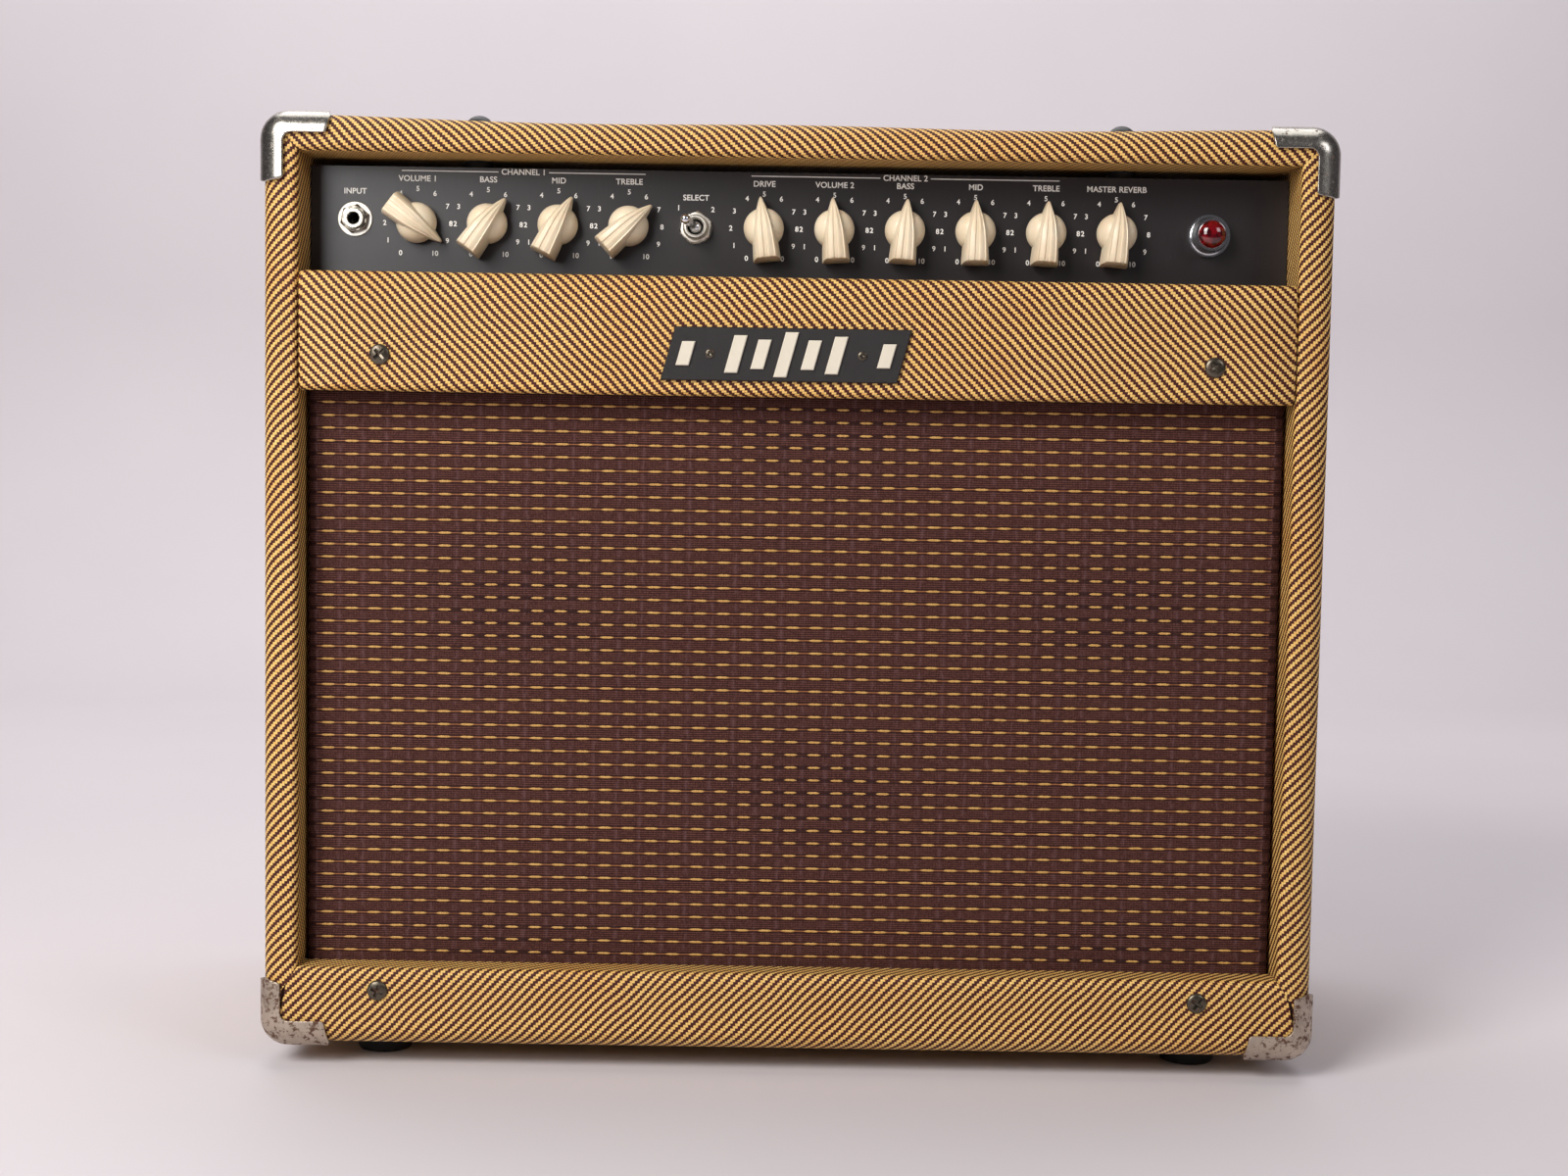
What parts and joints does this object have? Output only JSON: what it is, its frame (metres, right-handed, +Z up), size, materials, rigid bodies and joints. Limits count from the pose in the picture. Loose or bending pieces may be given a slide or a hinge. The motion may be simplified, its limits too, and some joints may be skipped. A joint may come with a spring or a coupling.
{
  "type": "guitar amplifier",
  "caption": "Tweed-covered combo guitar amplifier with an open back, recessed control panel, pointer knobs, grille cloth and a loudspeaker.",
  "frame": {"origin": "on the floor under the centre of the amplifier", "axes": "+X to the right seen from the front, +Y towards the back, +Z up; the control panel faces -Y"},
  "size_m": [0.524, 0.2588, 0.484],
  "materials": {
    "tweed": "lacquered woven tweed covering glued on board, cream and brown twill",
    "bare_wood": "plain plywood",
    "grille_fabric": "oxblood woven cloth with gold dashes",
    "dark_screw": "oxidised dark steel",
    "badge_black": "pebbled dark brown paint",
    "badge_cream": "cream raised bars",
    "corner_nickel": "worn nickel plate with pits",
    "foot_rubber": "moulded rubber",
    "panel_black": "satin charcoal",
    "chassis_steel": "zinc-plated sheet steel",
    "fastener_steel": "plated fasteners",
    "spacer_rubber": "firm rubber",
    "jack_nickel": "nickel plate",
    "pot_steel": "tinned cans",
    "knob_ivory": "ivory moulded plastic",
    "toggle_chrome": "polished",
    "lamp_chrome": "polished",
    "jewel_red": "faceted ruby glass",
    "lamp_glass": "clear bulb in a moulded socket",
    "magnet_ferrite": "ferrite and plated steel",
    "cone_paper": "pressed paper and treated cloth",
    "transformer_black": "black enamel",
    "tube_glass": "clear glass",
    "socket_ceramic": "glazed ceramic",
    "board_green": "printed circuit board",
    "inlet_plastic": "black moulded plastic",
    "strap_leather": "stitched brown leather",
    "cap_nickel": "worn nickel plate"
  },
  "bodies": {
    "cabinet": {"back_panel_lower": "tweed", "back_panel_upper": "tweed", "badge_motif": "badge_cream", "badge_plate": "badge_black", "baffle_board": "bare_wood", "bottom_board": "tweed", "cabinet_cleats": "bare_wood", "cabinet_screws": "dark_screw", "chassis_bolts": "fastener_steel", "chassis_spacers": "spacer_rubber", "chassis_tray": "chassis_steel", "circuit_board": "board_green", "control_panel": "panel_black", "corner_protectors": "corner_nickel", "front_screws": "dark_screw", "fuse_holder": "inlet_plastic", "grille_cloth": "grille_fabric", "handle_end_caps": "cap_nickel", "handle_strap": "strap_leather", "input_jack": "jack_nickel", "lamp_bezel": "lamp_chrome", "lamp_jewel": "jewel_red", "lamp_socket": "lamp_glass", "lower_front_rail": "tweed", "mains_inlet": "inlet_plastic", "output_transformer": "transformer_black", "panel_nuts": "fastener_steel", "potentiometers": "pot_steel", "power_transformer": "transformer_black", "power_tubes": "tube_glass", "preamp_tubes": "tube_glass", "rear_jacks": "jack_nickel", "rear_switches": "toggle_chrome", "reverb_tank": "chassis_steel", "rubber_feet": "foot_rubber", "select_switch": "toggle_chrome", "side_board_left": "tweed", "side_board_right": "tweed", "speaker_arms": "chassis_steel", "speaker_basket": "chassis_steel", "speaker_bolts": "fastener_steel", "speaker_magnet": "magnet_ferrite", "speaker_suspension": "cone_paper", "top_board": "tweed", "tube_sockets": "socket_ceramic", "upper_front_panel": "tweed"},
    "knob_volume_1": {"knob_volume_1": "knob_ivory"},
    "knob_bass_1": {"knob_bass_1": "knob_ivory"},
    "knob_mid_1": {"knob_mid_1": "knob_ivory"},
    "knob_treble_1": {"knob_treble_1": "knob_ivory"},
    "knob_drive": {"knob_drive": "knob_ivory"},
    "knob_volume_2": {"knob_volume_2": "knob_ivory"},
    "knob_bass_2": {"knob_bass_2": "knob_ivory"},
    "knob_mid_2": {"knob_mid_2": "knob_ivory"},
    "knob_treble_2": {"knob_treble_2": "knob_ivory"},
    "knob_reverb": {"knob_reverb": "knob_ivory"},
    "select_lever": {"select_lever": "toggle_chrome"},
    "power_lever": {"power_lever": "toggle_chrome"},
    "standby_lever": {"standby_lever": "toggle_chrome"},
    "speaker_cone": {"speaker_cone": "cone_paper"}
  },
  "joints": [
    {"name": "volume_1_turn", "type": "hinge", "parent": "cabinet", "child": "knob_volume_1", "pos_m": [-0.18945, -0.09795, 0.4197], "axis": [0, 1, 0], "range_deg": [-277, 23]},
    {"name": "bass_1_turn", "type": "hinge", "parent": "cabinet", "child": "knob_bass_1", "pos_m": [-0.1545, -0.09795, 0.4197], "axis": [0, 1, 0], "range_deg": [-186, 114]},
    {"name": "mid_1_turn", "type": "hinge", "parent": "cabinet", "child": "knob_mid_1", "pos_m": [-0.11955, -0.09795, 0.4197], "axis": [0, 1, 0], "range_deg": [-177, 123]},
    {"name": "treble_1_turn", "type": "hinge", "parent": "cabinet", "child": "knob_treble_1", "pos_m": [-0.0846, -0.09795, 0.4197], "axis": [0, 1, 0], "range_deg": [-198, 102]},
    {"name": "drive_turn", "type": "hinge", "parent": "cabinet", "child": "knob_drive", "pos_m": [-0.0176, -0.09795, 0.4197], "axis": [0, 1, 0], "range_deg": [-143, 157]},
    {"name": "volume_2_turn", "type": "hinge", "parent": "cabinet", "child": "knob_volume_2", "pos_m": [0.01735, -0.09795, 0.4197], "axis": [0, 1, 0], "range_deg": [-146, 154]},
    {"name": "bass_2_turn", "type": "hinge", "parent": "cabinet", "child": "knob_bass_2", "pos_m": [0.0523, -0.09795, 0.4197], "axis": [0, 1, 0], "range_deg": [-154, 146]},
    {"name": "mid_2_turn", "type": "hinge", "parent": "cabinet", "child": "knob_mid_2", "pos_m": [0.08725, -0.09795, 0.4197], "axis": [0, 1, 0], "range_deg": [-150, 150]},
    {"name": "treble_2_turn", "type": "hinge", "parent": "cabinet", "child": "knob_treble_2", "pos_m": [0.1222, -0.09795, 0.4197], "axis": [0, 1, 0], "range_deg": [-153, 147]},
    {"name": "reverb_turn", "type": "hinge", "parent": "cabinet", "child": "knob_reverb", "pos_m": [0.15715, -0.09795, 0.4197], "axis": [0, 1, 0], "range_deg": [-155, 145]},
    {"name": "select_throw", "type": "hinge", "parent": "cabinet", "child": "select_lever", "pos_m": [-0.0514, -0.10115, 0.4197], "axis": [0.4695, 0, 0.8829], "range_deg": [0, 30]},
    {"name": "power_throw", "type": "hinge", "parent": "cabinet", "child": "power_lever", "pos_m": [-0.112, 0.10405, 0.4197], "axis": [1, 0, 0], "range_deg": [0, 30]},
    {"name": "standby_throw", "type": "hinge", "parent": "cabinet", "child": "standby_lever", "pos_m": [-0.076, 0.10405, 0.4197], "axis": [1, 0, 0], "range_deg": [0, 30]},
    {"name": "cone_travel", "type": "slide", "parent": "cabinet", "child": "speaker_cone", "axis": [0, 1, 0], "range_m": [-0.0025, 0.0025], "stiffness_N_per_m": 3000}
  ]
}
